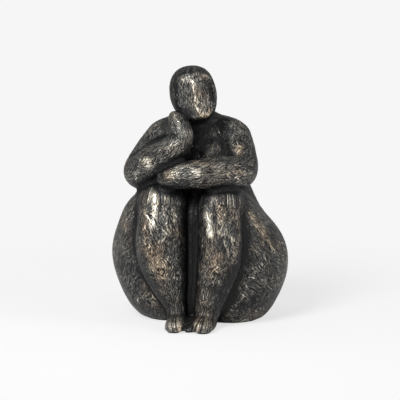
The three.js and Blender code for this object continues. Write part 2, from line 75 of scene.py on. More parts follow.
# ---------------------------------------------------------------- clay forms
# Fillets in the creases between forms
CREASE, HIP, CHEST, BREAST, FOOT_FILLET, FACE, UNDERSIDE = 2.2, 20, 10, 5, 9, 1.2, 1.2
JOINT, JOINT_REACH = 14, 30  # the fillet in the middle of a joint, and how far out that fades
MIDDLE = -1.3  # where the plane stands that hips and legs mirror in
SWAY, SWAY_LEVEL = 0.052, 48  # how the hips lean as they rise, and the level it starts from
# A mass has a middle and radii, and a limb has balls, each with a middle and a radius
HAUNCH = (30, 14, 51, 50.5, 53, 55)
UNDER_THIGH = (27, -9, 30, 38, 30, 34)
SEAT = (0, 9, 20, 54, 38, 24)
THIGH = [(44.5, 4, 63, 33), (39.5, -18, 91, 28), (32, -30, 109, 21)]
WAIST = (0, 14, 110, 49, 38, 42)
RIBS = (0, 2, 148, 44, 30, 36)
BREASTS = (17, -15, 154, 15, 15, 17)
GIRDLE = [(-23.6, 3, 175.5, 17), (-1, 2, 179, 17), (21, 3, 175.5, 17)]
NECK = [(0, -2, 184, 15), (-3, -14, 202, 12.5)]
RIGHT_LEG = [(-27, -42, 112, 22.5), (-27, -46, 95, 23), (-27.5, -45, 70, 24), (-21.5, -45, 44, 18),
             (-14.5, -45, 20, 10.5)]
LEFT_LEG = [(27, -42, 112, 20.5), (27, -46, 95, 20), (27, -45, 70, 20.5), (22, -45, 44, 17),
            (15.5, -45, 20, 12.8)]
FOOT_POWER = 2.7
RIGHT_FOOT = (-11.3, -56, 1.5, 10.2, 20, 11)
LEFT_FOOT = (13.3, -55, 1.5, 10.5, 20, 11)
WEB = (1, -54, 1.5, 9, 18, 9)  # between the feet
FOLD = [(1, -20, 122, 8), (1, -36, 105, 8), (1, -37.5, 72, 8), (0.5, -38.5, 42, 7.5),
        (0.5, -38, 14, 7)]  # between the legs
FOLD_STEPS, FOLD_SWELL = 8, 1  # balls from one place of the fold to the next, and their extra girth
BALL_SIDES, BALL_RINGS = 20, 12
RIGHT_ARM = [(-35, 3, 170, 17.5), (-45, -8, 156.5, 16.5), (-51.8, -22, 141, 16.5),
             (-36, -38, 151, 16), (-17, -48, 163, 13), (-8, -48, 175, 10), (-10.5, -45, 183.5, 10),
             (-13, -42, 190, 8.5), (-16.5, -41, 194, 5)]
LEFT_ARM = [(31, 3, 170.5, 17.5), (37, -10, 157, 17.5), (41, -26, 143, 16), (24, -47, 144, 15),
            (4, -57, 143, 13), (-12, -57, 141, 11), (-21, -55, 139, 8.5)]
SKULL, SKULL_POWER = (-3.4, -22, 216.5, 18, 20.5, 20.5), 2.3
JAW, JAW_POWER = (2, -29, 206, 13.5, 16.5, 14), 2.8
LEAN, TURN, HAIR = -5, 20, 2.6  # the head's turns in degrees, and how thick the hair is
OPENING, OPENING_POWER = (25.5, -16, 18, 19.5, 32), 3.4
BROW, CHIN = (1, -41, 228), (10, -40, 195.5)
FACE_DEPTH, FACE_FULL, FACE_ANGLE = 1.4, 1.0, 24  # how far its planes stand out, and their turn
CROWN = np.array([-8, -8, 240.0])  # the hair's strokes run from here
FAR = 25  # beyond this, the distance to a limb is only rough


def mirrored(form):
    """A form on the other side of the plane that hips and legs mirror in."""
    return (2 * MIDDLE - form[0], *form[1:])


def turned(lean, turn):
    """Columns are the axes of a form leaned about Y and turned about Z."""
    a, b = math.radians(lean), math.radians(turn)
    about_y = np.array([[math.cos(a), 0, math.sin(a)], [0, 1, 0], [-math.sin(a), 0, math.cos(a)]])
    about_z = np.array([[math.cos(b), -math.sin(b), 0], [math.sin(b), math.cos(b), 0], [0, 0, 1]])
    return about_z @ about_y


def mass(form, lean=0, turn=0, power=2):
    """An egg-shaped mass as a distance, negative inside. A power above 2 makes it squarer."""
    centre, radii, axes = np.array(form[:3], float), np.array(form[3:], float), turned(lean, turn)

    def distance(p):
        q = np.maximum(np.abs((p - centre) @ axes) / radii, TINY)
        outward = (q ** power).sum(1) ** (1 / power)
        slope = np.sqrt((((q / outward[:, None]) ** (power - 1) / radii) ** 2).sum(1))
        return (outward - 1) / slope

    return distance


def curve(points, steps):
    """Points of a smooth line through places, and its girth."""
    p = np.array(points, float)
    before, after = 2 * p[0] - p[1], 2 * p[-1] - p[-2]
    before[3], after[3] = p[0][3], p[-1][3]
    q = np.vstack([before, p, after])
    made = []
    for n in range(steps * (len(p) - 1) + 1):
        i = min(n // steps, len(p) - 2)
        t = n / steps - i
        a, b, c, d = q[i:i + 4]
        v, w = (c - a) / 2, (d - b) / 2
        cubic, square = 2 * b - 2 * c + v + w, -3 * b + 3 * c - 2 * v - w
        made.append(cubic * t ** 3 + square * t ** 2 + v * t + b)
    return np.array(made)


def limb(balls, steps=10):
    """A round limb through balls, as a distance."""
    line = curve(balls, steps)
    places = np.array(balls, float)[:, :3]
    centre = (places.min(0) + places.max(0)) / 2
    reach = np.sqrt(((places - centre) ** 2).sum(1).max())
    girth = max(ball[3] for ball in balls)

    def distance(p):
        clear = np.sqrt(((p - centre) ** 2).sum(1)) - reach - girth
        near = clear < FAR
        q, nearest = p[near], np.full(near.sum(), ENDLESS)
        for a, b in zip(line[:-1], line[1:]):
            along = b[:3] - a[:3]
            away = q - a[:3]
            t = np.clip(away @ along / (along @ along), 0, 1)
            off = away - t[:, None] * along
            nearest = np.minimum(nearest, np.sqrt((off * off).sum(1)) - a[3] - t * (b[3] - a[3]))
        clear[near] = nearest
        return clear

    return distance


def pressed(a, b, fillet):
    """Two distances pressed together, with a fillet in the crease."""
    near = np.maximum(fillet - np.abs(a - b), 0)
    return np.minimum(a, b) - near * near / (4 * fillet)


def press(fillet, *parts):
    """Forms pressed together one after the other."""
    def distance(p):
        made = parts[0](p)
        for part in parts[1:]:
            made = pressed(made, part(p), fillet)
        return made

    return distance


def thigh(side):
    """Haunch and thigh of one side."""
    on = (lambda form: form) if side > 0 else mirrored
    return press(HIP, mass(on(HAUNCH)), mass(on(UNDER_THIGH)), limb([on(ball) for ball in THIGH]))


def hips():
    """Both haunches and the seat, leaned as they rise."""
    upright = press(HIP, thigh(1), thigh(-1), mass(SEAT))

    def distance(p):
        q = p.copy()
        q[:, 0] += SWAY * (q[:, 2] - SWAY_LEVEL)
        return upright(q)

    return distance


def torso():
    """Belly, chest, shoulders, neck and breasts."""
    chest = press(CHEST, mass(WAIST), mass(RIBS), limb(GIRDLE), limb(NECK))
    return press(BREAST, chest, mass(BREASTS), mass(mirrored(BREASTS)))


def leg(balls, foot):
    """Knee, shin and foot."""
    return press(FOOT_FILLET, limb(balls), mass(foot, power=FOOT_POWER))


FACING = turned(0, TURN) @ np.array([0, -1.0, 0])


def head_forms():
    """Hair with an opening for the face, and the face's two planes with the ridge between them."""
    at = np.array(SKULL[:3]) + FACING * OPENING[0] + [0, 0, OPENING[1]]
    tool = mass((*at, *OPENING[2:]), LEAN, TURN, OPENING_POWER)
    egg = press(CHEST, mass(SKULL, LEAN, TURN, SKULL_POWER), mass(JAW, LEAN, TURN, JAW_POWER))
    ridge = np.array(BROW, float) - CHIN
    ridge /= np.linalg.norm(ridge)
    front = FACING - FACING @ ridge * ridge
    front /= np.linalg.norm(front)
    sides = []
    for angle in (-FACE_ANGLE, FACE_ANGLE):
        a = math.radians(angle)
        sides.append(front * math.cos(a) + np.cross(ridge, front) * math.sin(a))

    def hair(p):
        return -pressed(HAIR - egg(p), tool(p), FACE)

    def face(p):
        at = p - CHIN - front * FACE_DEPTH
        planes = np.maximum(at @ sides[0], at @ sides[1])
        return -pressed(FACE_FULL - egg(p), -planes, FACE)

    return hair, face, ridge


HAIR_FORM, FACE_FORM, FACE_UP = head_forms()


def head(p):
    """The head as a distance."""
    return pressed(FACE_FORM(p), HAIR_FORM(p), FACE)


FORMS = {
    "hips_shell": hips(),
    "torso_shell": torso(),
    "head_casting": head,
    "right_arm_casting": limb(RIGHT_ARM),
    "left_arm_casting": limb(LEFT_ARM),
    "right_leg_casting": leg(RIGHT_LEG, RIGHT_FOOT),
    "left_leg_casting": press(CREASE, leg(LEFT_LEG, LEFT_FOOT), mass(WEB)),
}
FOLD_FORM = limb(FOLD)
JOINTS = np.array([RIGHT_ARM[0], LEFT_ARM[0], RIGHT_LEG[0], LEFT_LEG[0], NECK[1]])[:, :3]


def figure(p, floor=True):
    """The whole figure as a distance, with its flat underside."""
    away = np.sqrt(((p[:, None] - JOINTS[None]) ** 2).sum(2)).min(1)
    t = np.clip((JOINT_REACH - away) / JOINT_REACH, 0, 1)
    fillet = CREASE + (JOINT - CREASE) * t * t * (3 - 2 * t)
    made = pressed(FORMS["hips_shell"](p), FORMS["torso_shell"](p), HIP)
    made = pressed(made, FOLD_FORM(p), CREASE)
    for name in CASTINGS[2:]:
        made = pressed(made, FORMS[name](p), fillet)
    return -pressed(-made, p[:, 2] - BASE, UNDERSIDE) if floor else made


# ---------------------------------------------------------------- meshes
def pick(*objects):
    """Selects these objects alone, the last one active."""
    bpy.ops.object.select_all(action="DESELECT")
    for each in objects:
        each.hide_set(False)
        each.select_set(True)
    bpy.context.view_layer.objects.active = objects[-1]


def applied(piece, kind, name, **settings):
    """Adds a modifier to a piece and applies it."""
    modifier = piece.modifiers.new(name, kind)
    for key, value in settings.items():
        setattr(modifier, key, value)
    pick(piece)
    bpy.ops.object.modifier_apply(modifier=name)


def places(mesh):
    """A mesh's points in millimetres."""
    made = np.empty(3 * len(mesh.vertices), np.float32)
    mesh.vertices.foreach_get("co", made)
    return made.reshape(-1, 3).astype(float) / MM


def squares(mesh):
    """The corners of a mesh of squares."""
    made = np.empty(len(mesh.loops), np.int32)
    mesh.loops.foreach_get("vertex_index", made)
    return made.reshape(-1, 4)


def merged_copy(names):
    """Copies of these CAD nodes, merged and swollen a little, and the fold's balls, in one mesh."""
    copies = []
    for name in names:
        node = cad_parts[name]
        copy = node.copy()
        copy.data = node.data.copy()
        bpy.context.collection.objects.link(copy)
        copy.parent = None
        copy.matrix_world = node.matrix_world
        copies.append(copy)
        pick(copy)
        bpy.ops.object.mode_set(mode="EDIT")
        bpy.ops.mesh.select_all(action="SELECT")
        bpy.ops.mesh.remove_doubles(threshold=MERGE * MM)
        bpy.ops.transform.shrink_fatten(value=SWELL * MM)
        bpy.ops.object.mode_set(mode="OBJECT")
    for *centre, radius in curve(FOLD, FOLD_STEPS):
        bpy.ops.mesh.primitive_uv_sphere_add(
            segments=BALL_SIDES, ring_count=BALL_RINGS, radius=(radius + FOLD_SWELL) * MM,
            location=[value * MM for value in centre])
        copies.append(bpy.context.active_object)
    pick(*copies)
    bpy.ops.object.join()
    whole = bpy.context.view_layer.objects.active
    whole.name = "figure"
    bpy.ops.object.transform_apply(location=True, rotation=True, scale=True)
    return whole


def outer_skin(whole):
    """Wraps one skin of squares over the castings, and keeps its outside only."""
    whole.data.remesh_voxel_size = SKIN_STEP * MM
    whole.data.remesh_voxel_adaptivity = 0
    pick(whole)
    bpy.ops.object.voxel_remesh()
    faces, count = squares(whole.data), len(whole.data.vertices)
    body = np.arange(count)
    while True:
        least = body[faces].min(1)
        before = body.copy()
        np.minimum.at(body, faces.ravel(), np.repeat(least, 4))
        body = body[body]
        if (body == before).all():
            break
    kept = body == np.bincount(body[faces[:, 0]], minlength=count).argmax()
    number = np.cumsum(kept) - 1
    return places(whole.data)[kept], number[faces[kept[faces[:, 0]]]]


def mesh_of(name, points, faces):
    """A mesh object from points in millimetres."""
    mesh = bpy.data.meshes.new(name)
    mesh.from_pydata((points * MM).tolist(), [], [list(face) for face in faces])
    piece = bpy.data.objects.new(name, mesh)
    bpy.context.collection.objects.link(piece)
    return piece


def set_values(mesh, name, values):
    """Keeps a number, or a place, at each point of a mesh."""
    kind = "FLOAT_VECTOR" if values.ndim == 2 else "FLOAT"
    attribute = mesh.attributes.new(name, kind, "POINT")
    attribute.data.foreach_set("vector" if values.ndim == 2 else "value", values.ravel())


def get_values(mesh, name, size):
    """The numbers kept at the points of a mesh."""
    made = np.empty(len(mesh.vertices) * size, np.float32)
    mesh.attributes[name].data.foreach_get("vector" if size == 3 else "value", made)
    return made.reshape(-1, 3) if size == 3 else made


# ---------------------------------------------------------------- what the modeller's tools leave
# Places that lines over the surface run through
MARKED = {
    "right_knee": [
        (-35, -55, 128), (-31, -61, 123), (-30, -65, 114), (-30, -67, 104), (-32, -69, 93)],
    "right_knee_inside": [(-21, -66, 108), (-19, -67, 101), (-20, -68, 91), (-23, -69, 80)],
    "right_knee_groove": [(-26, -58, 128), (-24, -64, 116), (-26, -68, 103), (-28, -69, 91)],
    "right_shin_outside": [
        (-42, -57, 120), (-39, -63, 110), (-39, -66, 93), (-37, -68, 75), (-31, -67, 58),
        (-21, -64, 47)],
    "right_shin_front": [(-34, -69, 84), (-30, -69, 72), (-25, -67, 59), (-19, -64, 47)],
    "right_shin_inside": [(-26, -69, 88), (-24, -69, 75), (-19, -67, 62), (-16, -63, 51)],
    "right_ankle": [(-12, -58, 31), (-11, -55, 21), (-12, -60, 13)],
    "left_knee": [(16, -60, 112), (18, -63, 101), (21, -65, 92), (22, -65, 84)],
    "left_knee_middle": [(26, -61, 118), (29, -64, 109), (30, -65, 98), (27, -66, 86)],
    "left_knee_groove": [(23, -61, 118), (25, -63, 110), (24, -65, 101)],
    "left_shin_rib": [(23, -66, 96), (23, -66, 85), (22, -65, 74)],
    "left_shin_inside": [(19, -64, 89), (18, -64, 78), (16, -62, 66)],
    "left_shin_fan": [(34, -65, 96), (39, -62, 87), (42, -60, 78)],
    "left_shin_fan_inside": [(32, -66, 87), (36, -64, 78), (37, -62, 69)],
    "left_shin_low": [(24, -66, 75), (28, -65, 63), (24, -62, 52)],
    "left_shin_outside": [(43, -56, 108), (45, -54, 93), (44, -57, 77), (38, -60, 61)],
    "left_ankle": [(15, -57, 36), (17, -57, 25), (17, -57, 15)],
    "left_thigh": [(48, -45, 112), (54, -38, 103), (61, -33, 94), (66, -28, 82)],
    "left_thigh_scratch": [(66, -27, 82), (71, -22, 74), (74, -18, 66)],
    "left_hip_scratch": [(48, -39, 31), (43, -39, 24), (39, -38, 17)],
    "right_thigh": [(-57, -43, 104), (-62, -40, 95), (-66, -36, 85)],
    "right_elbow": [(-43, -52, 152), (-39, -54, 155), (-37, -55, 151), (-40, -53, 148)],
    "right_forearm": [(-29, -54, 168), (-21, -59, 167), (-15, -61, 164)],
    "right_wrist": [(-16, -61, 164), (-9, -59, 171), (-5, -56, 180), (-9, -53, 187)],
    "right_hand": [(-16, -46, 197), (-12, -51, 192), (-9, -53, 188)],
    "right_upper_arm": [(-49, -10, 176), (-44, -7, 181), (-37, -5, 186)],
    "left_hand": [(-17, -66, 144), (-12, -67, 145), (-7, -68, 147)],
    "left_wrist": [(4, -69, 146), (8, -69, 147), (13, -68, 145)],
    "left_forearm_top": [(9, -64, 154), (16, -64, 153), (25, -62, 151), (32, -59, 147)],
    "left_forearm": [(21, -66, 146), (31, -60, 143), (37, -55, 145)],
    "left_elbow_inside": [(41, -23, 168), (41, -28, 163), (40, -35, 157)],
    "left_shoulder": [(26, -9, 187), (35, -10, 183), (43, -13, 176)],
    "chest": [(13, -17, 180), (18, -18, 174), (25, -23, 166)],
    "collar": [(8, -19, 186), (14, -14, 188), (19, -7, 191)],
    "right_foot": [(-17, -70, 9), (-9, -72, 8), (-5, -66, 9)],
    "right_instep": [(-14, -52, 20), (-13, -60, 13), (-12, -68, 10)],
    "left_instep": [(17, -52, 20), (16, -60, 13), (14, -68, 10)],
    "left_foot": [(4, -63, 9), (13, -71, 9), (20, -63, 9)],
    "hairline": [
        (-12, -40, 225), (-7, -40, 228), (-2, -39, 230), (3, -37, 232), (9, -34, 231),
        (12, -32, 229), (15, -31, 223), (17, -31, 218), (17, -31, 211), (16, -33, 203)],
    "face_ridge": [
        (1, -39, 228), (1, -41, 222), (2, -41, 216), (3, -41, 209), (4, -40, 203), (6, -40, 199),
        (9, -39, 196)],
    "hairline_top": [
        (-14, -39, 224), (-10, -39, 228), (-5, -39, 230), (1, -38, 231), (7, -35, 232),
        (12, -32, 230), (15, -30, 226)],
    "right_rim": [(17, -30, 224), (17, -30, 217), (18, -31, 209), (17, -31, 202)],
    "right_cheek": [(12, -32, 226), (15, -31, 219), (16, -32, 212), (15, -33, 206)],
    "face_scratch_a": [(-11, -40, 224), (-10, -40, 216), (-7, -40, 208), (-5, -40, 202)],
    "face_scratch_b": [(-7, -40, 225), (-5, -40, 217), (-2, -40, 208), (0, -40, 201)],
    "face_scratch_c": [(-3, -40, 226), (-1, -41, 219), (1, -40, 210), (2, -40, 202)],
    "face_scratch_d": [(7, -37, 225), (8, -37, 217), (10, -37, 210)],
    "face_scratch_e": [(9, -34, 226), (12, -34, 219), (13, -34, 211)],
    "face_side": [(-15, -39, 224), (-16, -39, 216), (-15, -38, 208), (-14, -38, 202)],
    "fingers": [(-15, -45, 198), (-11, -50, 193), (-7, -51, 190)],
    "fingers_above": [(-12, -43, 198), (-7, -47, 194), (-4, -47, 191)],
    "chest_swirl": [(11, -19, 176), (15, -17, 178), (19, -18, 174), (24, -22, 168)],
    "chest_low": [(9, -23, 168), (15, -27, 164), (22, -26, 163)],
    "under_collar": [(7, -19, 185), (12, -16, 185), (17, -12, 187), (20, -9, 189)],
    "fold_light": [
        (-2, -44, 105), (-2.4, -45, 96), (-1.8, -46, 86), (-2, -46, 74), (-1.6, -46, 62),
        (-1.5, -46, 55)],
    "between_feet": [(1, -73, 3), (1, -71, 6), (1, -66, 9), (1, -58, 11)],
    "fold": [(1, -28, 122), (1, -45, 105), (1.5, -47, 72), (1.5, -47, 42), (1, -46, 14)],
    "beside_right_knee": [(-61, -40, 100), (-57, -43, 97), (-53, -47, 103)],
    "right_knee_spot": [(-14, -62, 109), (-13, -63, 104), (-12, -63, 99)],
    "chin": [(6, -40, 198), (9, -39, 195), (11, -36, 194), (14, -36, 198), (15, -34, 203)],
    "face_left": [(3, -39, 226), (5, -40, 220), (7, -39, 214), (9, -39, 208)],
    "hair_side": [(-18, -38, 220), (-17, -39, 213), (-15, -38, 207)],
    "beside_right_leg": [
        (-50, -45, 119), (-51, -48, 104), (-53, -46, 87), (-51, -52, 70), (-42, -58, 52),
        (-32, -57, 36), (-25, -54, 24)],
    "beside_left_leg": [
        (47, -38, 118), (49, -44, 105), (49, -45, 88), (47, -48, 70), (42, -54, 55), (35, -55, 40),
        (29, -53, 26)],
    "left_armpit": [(26, -9, 186), (25, -15, 178), (26, -21, 169), (33, -32, 158)],
    "under_chin": [(2, -26, 189), (4, -20, 183), (4, -20, 175)],
    "right_arm_fold": [
        (-54, -28, 156), (-49, -26, 162), (-44, -21, 167), (-39, -18, 169), (-30, -16, 173),
        (-26, -15, 177)],
    "beside_right_hand": [(-30, -10, 185), (-27, -14, 178)],
    "under_right_elbow": [(-55, -35, 129), (-41, -45, 132), (-26, -61, 139)],
    "between_hands": [(-25, -60, 143), (-20, -60, 151), (-9, -60, 155)],
    "under_forearm": [
        (-11, -64, 132), (2, -63, 132), (13, -55, 130), (26, -56, 129), (39, -49, 127),
        (47, -33, 129)],
    "chin_on_hand": [(-14, -37, 201), (-8, -42, 197), (-4, -41, 194)],
    "inside_right_leg": [
        (-12, -50, 126), (-6, -50, 114), (-5, -51, 96), (-5, -54, 73), (-7, -56, 50)],
    "inside_left_leg": [(11, -52, 120), (11, -58, 97), (10, -56, 74), (8, -51, 50)],
    "under_left_hip": [(32, -49, 27), (53, -34, 20), (70, -20, 27)],
}
LINE_SNAPS = 2  # moves that bring a line onto the figure
LINE_REACH = 2.5  # widths beside a line where it has faded out
LINE_FADE, LINE_END = 6, 0.35  # one part in so many fades at each end, to so much
# Width and height in millimetres of the ridges and grooves that tools left
WORKED = {
    "right_knee": (3.5, 0.6), "right_knee_groove": (2.0, -0.9), "right_knee_inside": (2.6, 0.6),
    "right_shin_outside": (2.6, 0.4), "left_knee": (2.6, 0.6), "left_knee_groove": (1.8, -0.8),
    "left_knee_middle": (3.0, 0.5), "left_shin_rib": (1.2, 0.4), "left_shin_inside": (1.2, 0.35),
    "left_shin_fan": (1.2, 0.4), "left_shin_fan_inside": (1.2, 0.4), "left_thigh": (4.5, 0.7),
    "left_thigh_scratch": (1.2, 0.4), "right_hand": (1.6, 0.4), "collar": (2.4, 0.7),
    "hairline": (1.3, 0.45), "face_ridge": (1.0, 0.55), "chin": (1.4, 0.5),
    "face_left": (0.9, 0.25), "left_armpit": (3.0, -0.9), "right_arm_fold": (2.8, -1.8),
    "hairline_top": (1.4, 0.3), "face_side": (1.6, -0.5), "right_cheek": (1.4, -0.5),
    "fingers": (1.0, -0.5), "fingers_above": (1.0, -0.5), "under_collar": (1.6, -0.6),
    "face_scratch_a": (0.8, -0.2), "face_scratch_b": (0.8, -0.2), "face_scratch_c": (0.8, -0.2),
    "face_scratch_d": (0.8, -0.2), "face_scratch_e": (0.8, -0.2), "right_rim": (1.2, 0.4),
    "beside_right_leg": (2.4, -0.5), "beside_left_leg": (2.4, -0.5), "under_forearm": (1.6, -0.5),
    "between_hands": (1.6, -0.5), "between_feet": (2.0, -1.2), "chin_on_hand": (1.4, -0.6),
}
# Width and strength where hands and cloth have rubbed the finish, and of painted highlights and
# reflections laid along the same lines
RUBBED_AND_HIGHLIT = {
    "right_knee": (4.4, 1.0), "right_knee_inside": (2.6, 0.7), "right_shin_outside": (3.0, 0.4),
    "right_shin_front": (6.0, 0.35), "right_shin_inside": (4.0, 0.25), "right_ankle": (4.0, 0.35),
    "left_knee": (3.8, 1.2), "left_knee_middle": (3.6, 0.55), "left_shin_rib": (1.6, 0.6),
    "left_shin_inside": (1.6, 0.55), "left_shin_fan": (1.6, 0.6),
    "left_shin_fan_inside": (1.6, 0.55), "left_shin_low": (6.0, 0.35),
    "left_shin_outside": (3.0, 0.35), "left_ankle": (4.0, 0.35), "left_thigh": (4.5, 0.55),
    "left_thigh_scratch": (1.3, 0.8), "left_hip_scratch": (1.6, 0.7), "right_thigh": (5.0, 0.35),
    "right_elbow": (4.0, 0.95), "right_forearm": (5.0, 0.2), "right_wrist": (4.0, 0.3),
    "right_hand": (3.0, 0.5), "right_upper_arm": (5.0, 0.25), "left_hand": (4.5, 0.6),
    "left_wrist": (4.5, 0.75), "left_forearm_top": (3.0, 0.5), "left_forearm": (5.0, 0.25),
    "left_elbow_inside": (3.2, 0.75), "left_shoulder": (5.0, 0.15), "chest": (5.0, 0.1),
    "chest_swirl": (4.0, 0.35), "collar": (2.0, 0.25), "right_foot": (4.0, 0.4),
    "left_foot": (4.0, 0.4), "right_instep": (7.0, 0.7), "left_instep": (7.0, 0.7),
    "hairline": (1.4, 0.9), "face_ridge": (1.3, 1.3), "chin": (1.6, 0.9), "face_left": (1.0, 0.5),
    "hair_side": (1.6, 0.35), "hairline_top": (2.0, 0.8), "right_rim": (1.2, 0.7),
    "fold_light": (1.1, 1.2), "right_knee_spot": (2.0, 0.6),
}
# Width and strength of painted shade in the creases, under the chin, arms and hands and beside and
# between the legs, and of darkening along the fine grooves
SHADE_AND_SUNK = {
    "right_knee_groove": (2.0, 0.6), "left_knee_groove": (1.6, 0.5), "beside_right_leg": (6.0, 0.9),
    "beside_left_leg": (6.5, 0.9), "left_armpit": (4.0, 1.0), "under_chin": (7.0, 1.0),
    "right_arm_fold": (5.0, 1.0), "beside_right_hand": (4.0, 0.9), "under_right_elbow": (3.0, 0.9),
    "between_hands": (2.5, 1.0), "under_forearm": (3.0, 1.0), "chin_on_hand": (1.6, 1.0),
    "fold": (7.0, 0.45), "between_feet": (2.4, 1.0), "inside_right_leg": (5.0, 0.25),
    "inside_left_leg": (4.0, 0.25), "right_cheek": (1.6, 0.8), "face_scratch_a": (0.8, 0.25),
    "face_scratch_b": (0.8, 0.25), "face_scratch_c": (0.8, 0.25), "face_scratch_d": (0.8, 0.25),
    "face_scratch_e": (0.8, 0.25), "face_side": (2.0, 0.9), "fingers": (1.0, 0.9),
    "fingers_above": (1.0, 0.9), "chest_low": (6.0, 0.4), "under_collar": (2.0, 0.9),
    "beside_right_knee": (4.0, 0.6), "under_left_hip": (9.0, 0.5),
}
# Width and strength where the finish is brown rather than silvery
WARM = {
    "right_shin_front": (10.0, 1.0), "left_shin_low": (10.0, 1.0), "left_elbow_inside": (6.0, 1.0),
    "left_thigh": (6.0, 0.7), "chin": (3.0, 0.8), "right_shin_outside": (5.0, 0.6),
    "left_knee_middle": (6.0, 0.6),
}
# Strokes on each casting: how many on a square centimetre, length, half width, depth, and how far
# in degrees they stray from the way that the form runs
STROKES = {
    "hips_shell": (9, (8, 22), (0.55, 0.9), (0.08, 0.2), 14),
    "torso_shell": (22, (4, 11), (0.5, 0.9), (0.1, 0.25), 30),
    "head_casting": (45, (4, 9), (0.45, 0.7), (0.12, 0.26), 14),
    "right_arm_casting": (30, (3, 9), (0.45, 0.85), (0.1, 0.26), 40),
    "left_arm_casting": (30, (3, 9), (0.45, 0.85), (0.1, 0.26), 40),
    "right_leg_casting": (28, (4, 12), (0.45, 0.85), (0.1, 0.26), 26),
    "left_leg_casting": (28, (4, 12), (0.45, 0.85), (0.1, 0.26), 26),
}
# Lines that the strokes on each casting follow
WAYS = {
    "hips_shell": [[(40, 40, 5), (46, 20, 45), (44.5, 0, 70), (39.5, -18, 91), (32, -30, 109)]],
    "torso_shell": [[(0, 12, 90), (0, 14, 110), (0, 2, 149), (0, 2, 172), (-3, -14, 202)]],
    "head_casting": [[(2, -24, 190), (-1, -24, 205), (-5, -22, 240)]],
    "right_arm_casting": [[ball[:3] for ball in RIGHT_ARM]],
    "left_arm_casting": [[ball[:3] for ball in LEFT_ARM]],
    "right_leg_casting": [[ball[:3] for ball in reversed(RIGHT_LEG)]],
    "left_leg_casting": [[ball[:3] for ball in reversed(LEFT_LEG)]],
}
WAYS["hips_shell"].append([mirrored(place) for place in WAYS["hips_shell"][0]])
GIRTHS = (45, 38, 20, 16, 16, 21, 20)  # about how thick each casting is round its middle line
UPRIGHT = (0.0, 0.3, 1.0)  # turns round a casting are counted from near this way
GRAIN_APART = 40.0  # keeps the castings' grains from matching where they meet
RAISED = 0.3  # the part of the strokes that stand out
BEND = 0.035  # spread of how much a stroke bends
HOLD, FACING_LEAST = 2.5, 0.2  # how far off its own plane a stroke marks, and how far turned
LIP, LIP_PLACE, LIP_WIDTH = 0.45, 1.35, 0.35  # what the tool pushes up beside its groove
TIP, SIDE = 3, 2  # how sharply a stroke ends, at its tips and its sides
CELL, CELLS_BELOW, ROW, LAYER = 8.0, 40, 100, 10000  # boxes that strokes are sought in
PAINTED_SHADE_REACH = ((2.5, 0.25), (6, 0.25), (14, 0.3), (26, 0.2))  # distances that the painted shade looks out along, and the share of each
SOFTENING = 16  # rounds that smooth the figure, to tell what swells
# the face's least openness for painted shade, its least rubbing and painted highlight, how much
# less the hair is rubbed, and how much less it swells
FACE_PAINTED_SHADE_OPEN, FACE_RUB_AND_HIGHLIGHT, HAIR_DULL, HAIR_SWELL = 0.8, 0.4, 0.15, 0.4
# how far the shade lines take off openness as painted shade, and take off rubbing
SUNK_SHADE, SUNK_DULL = 0.75, 0.2
UNWORKED, WORKED_OVER = 0.5, 2  # strokes start so far over the underside, and take so long


def along_line(line, p):
    """Distance from a line, part and length of it run there, its way, and its nearest place."""
    best = np.full(len(p), ENDLESS)
    far, way, foot = np.zeros(len(p)), np.zeros_like(p), np.zeros_like(p)
    run = 0
    for a, b in zip(line[:-1], line[1:]):
        step = b - a
        length = np.linalg.norm(step)
        t = np.clip((p - a) @ step / length ** 2, 0, 1)
        at = a + t[:, None] * step
        away = np.sqrt(((p - at) ** 2).sum(1))
        near = away < best
        best[near], far[near] = away[near], run + t[near] * length
        way[near], foot[near] = step / length, at[near]
        run += length
    return best, far / run, far, way, foot


def smooth_line(points, steps=6):
    """A smooth line through places."""
    return curve([(*point, 1) for point in points], steps)[:, :3]


def touched(p, places_on_line, width):
    """1 on a line over the surface, fading beside it and at its ends."""
    line = smooth_line(places_on_line)
    for _ in range(LINE_SNAPS):
        value = figure(line)
        line -= value[:, None] * steepest(figure, line, value)
    reach = LINE_REACH * width
    near = ((p > line.min(0) - reach) & (p < line.max(0) + reach)).all(1)
    away, part, _, _, _ = along_line(line, p[near])
    ends = np.clip(np.minimum(part, 1 - part) * LINE_FADE, 0, 1)
    made = np.zeros(len(p))
    made[near] = np.exp(-(away / width) ** 2) * (LINE_END + (1 - LINE_END) * ends)
    return made


def unit(v):
    """Vectors of length 1."""
    return v / np.maximum(np.sqrt((v * v).sum(1)), TINY)[:, None]


def normals_of(p, faces):
    """Normals at the points of a mesh of squares."""
    across = np.cross(p[faces[:, 2]] - p[faces[:, 0]], p[faces[:, 3]] - p[faces[:, 1]])
    made = np.empty_like(p)
    for axis in range(3):
        made[:, axis] = np.bincount(faces.ravel(), np.repeat(across[:, axis], 4), len(p))
    return unit(made)


def means(p, edges):
    """The middle of each point's neighbours."""
    both = np.concatenate([edges, edges[:, ::-1]])
    count = np.bincount(both[:, 0], minlength=len(p))
    made = np.empty_like(p)
    for axis in range(p.shape[1]):
        made[:, axis] = np.bincount(both[:, 0], p[both[:, 1], axis], len(p)) / count
    return made


def edges_of(faces):
    """Each edge of a mesh of squares once."""
    pairs = np.stack([faces, np.roll(faces, -1, axis=1)], 2).reshape(-1, 2)
    return np.unique(np.sort(pairs, axis=1), axis=0)


def steepest(field, p, value):
    """Which way a field rises fastest."""
    made = np.empty_like(p)
    for axis in range(3):
        beside = p.copy()
        beside[:, axis] += PROBE
        made[:, axis] = field(beside) - value
    return unit(made)


def relaxed(field, p, faces, edges):
    """Points evened out, and moved along the skin's normals onto the surface of a field."""
    for n in range(SETTLING + HOLDING):
        if n < SETTLING:
            p = (p + means(p, edges)) / 2
        value = field(p)
        outward = normals_of(p, faces)
        astray = np.abs(value) > ASTRAY
        outward[astray] = steepest(field, p[astray], value[astray])
        p = p - np.clip(value, -STRIDE, STRIDE)[:, None] * outward
    return p


